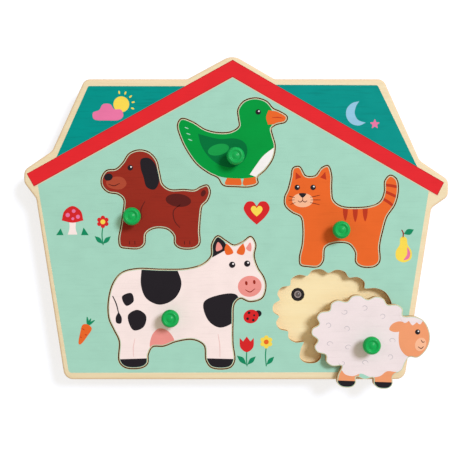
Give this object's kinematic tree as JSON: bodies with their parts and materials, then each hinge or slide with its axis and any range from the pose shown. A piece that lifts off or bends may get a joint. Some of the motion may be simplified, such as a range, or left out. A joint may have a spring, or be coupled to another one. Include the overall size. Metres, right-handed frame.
{
  "type": "sound puzzle",
  "caption": "House-shaped wooden board with knobbed animal pieces that lift out of recesses over light sensors, with a speaker and a battery box behind.",
  "frame": {"origin": "centre of the flat back face, midway between the eaves and midway between the base and the roof's apex", "axes": "+X to the right as the printed face is looked at, +Y towards the roof's apex, +Z out of the printed face"},
  "size_m": [0.3, 0.2334, 0.0415],
  "materials": {
    "mint_print": "satin printed face over pale plywood, with a bare rounded rim",
    "floor_wood": "bare pale plywood",
    "core_wood": "raw fibreboard core",
    "back_wood": "lightly sealed plywood",
    "duck_print": "satin print over plywood",
    "dog_print": "satin print over plywood",
    "cat_print": "satin print over plywood",
    "cow_print": "satin print over plywood",
    "sheep_print": "satin print over plywood",
    "knob_plastic": "glossy moulded plastic",
    "screw_steel": "zinc-plated steel",
    "black_plastic": "fine-grained moulded plastic",
    "sensor_face": "grey resin face",
    "circuit_green": "green solder mask",
    "chip_resin": "black potting resin",
    "capacitor_sleeve": "shrink sleeve",
    "speaker_steel": "pressed steel",
    "speaker_paper": "black paper cone",
    "magnet_iron": "plated ferrite magnet",
    "cell_wrap": "plain wrapped AAA cell",
    "contact_steel": "nickel-plated spring steel",
    "lead_sheath": "soft insulation"
  },
  "bodies": {
    "board": {"face_board": "mint_print", "floor_board": "floor_wood", "core_board": "core_wood", "back_board": "back_wood", "back_screw_1": "screw_steel", "back_screw_2": "screw_steel", "back_screw_3": "screw_steel", "back_screw_4": "screw_steel", "back_screw_5": "screw_steel", "back_screw_6": "screw_steel", "duck_sensor_ring": "black_plastic", "duck_sensor_cell": "sensor_face", "duck_sensor_lead": "lead_sheath", "dog_sensor_ring": "black_plastic", "dog_sensor_cell": "sensor_face", "dog_sensor_lead": "lead_sheath", "cat_sensor_ring": "black_plastic", "cat_sensor_cell": "sensor_face", "cat_sensor_lead": "lead_sheath", "cow_sensor_ring": "black_plastic", "cow_sensor_cell": "sensor_face", "cow_sensor_lead": "lead_sheath", "sheep_sensor_ring": "black_plastic", "sheep_sensor_cell": "sensor_face", "sheep_sensor_lead": "lead_sheath", "circuit_board": "circuit_green", "sound_chip": "chip_resin", "capacitor": "capacitor_sleeve", "speaker_basket": "speaker_steel", "speaker_cone": "speaker_paper", "speaker_magnet": "magnet_iron", "speaker_lead": "lead_sheath", "battery_box": "black_plastic", "contact_bridge": "contact_steel", "contact_negative": "contact_steel", "contact_positive": "contact_steel", "cell_1": "cell_wrap", "cell_2": "cell_wrap", "battery_lead": "lead_sheath", "switch_case": "speaker_steel", "switch_lead": "lead_sheath"},
    "duck": {"duck_piece": "duck_print", "duck_knob": "knob_plastic", "duck_knob_screw": "screw_steel"},
    "dog": {"dog_piece": "dog_print", "dog_knob": "knob_plastic", "dog_knob_screw": "screw_steel"},
    "cat": {"cat_piece": "cat_print", "cat_knob": "knob_plastic", "cat_knob_screw": "screw_steel"},
    "cow": {"cow_piece": "cow_print", "cow_knob": "knob_plastic", "cow_knob_screw": "screw_steel"},
    "sheep": {"sheep_piece": "sheep_print", "sheep_knob": "knob_plastic", "sheep_knob_screw": "screw_steel"},
    "battery_door": {"battery_door": "black_plastic", "door_screw": "screw_steel"},
    "switch_slider": {"switch_slider": "black_plastic"}
  },
  "joints": [
    {"name": "duck_lift", "type": "slide", "parent": "board", "child": "duck", "axis": [0, 0, 1], "range_m": [0, 0.06]},
    {"name": "dog_lift", "type": "slide", "parent": "board", "child": "dog", "axis": [0, 0, 1], "range_m": [0, 0.06]},
    {"name": "cat_lift", "type": "slide", "parent": "board", "child": "cat", "axis": [0, 0, 1], "range_m": [0, 0.06]},
    {"name": "cow_lift", "type": "slide", "parent": "board", "child": "cow", "axis": [0, 0, 1], "range_m": [0, 0.06]},
    {"name": "sheep_lift", "type": "slide", "parent": "board", "child": "sheep", "axis": [0, 0, 1], "range_m": [0, 0.06]},
    {"name": "battery_door_hinge", "type": "hinge", "parent": "board", "child": "battery_door", "pos_m": [-0.0999, -0.062, 0.001], "axis": [0, 1, 0], "range_deg": [0, 30]},
    {"name": "power_switch_slide", "type": "slide", "parent": "board", "child": "switch_slider", "axis": [1, 0, 0], "range_m": [0, 0.003]}
  ]
}
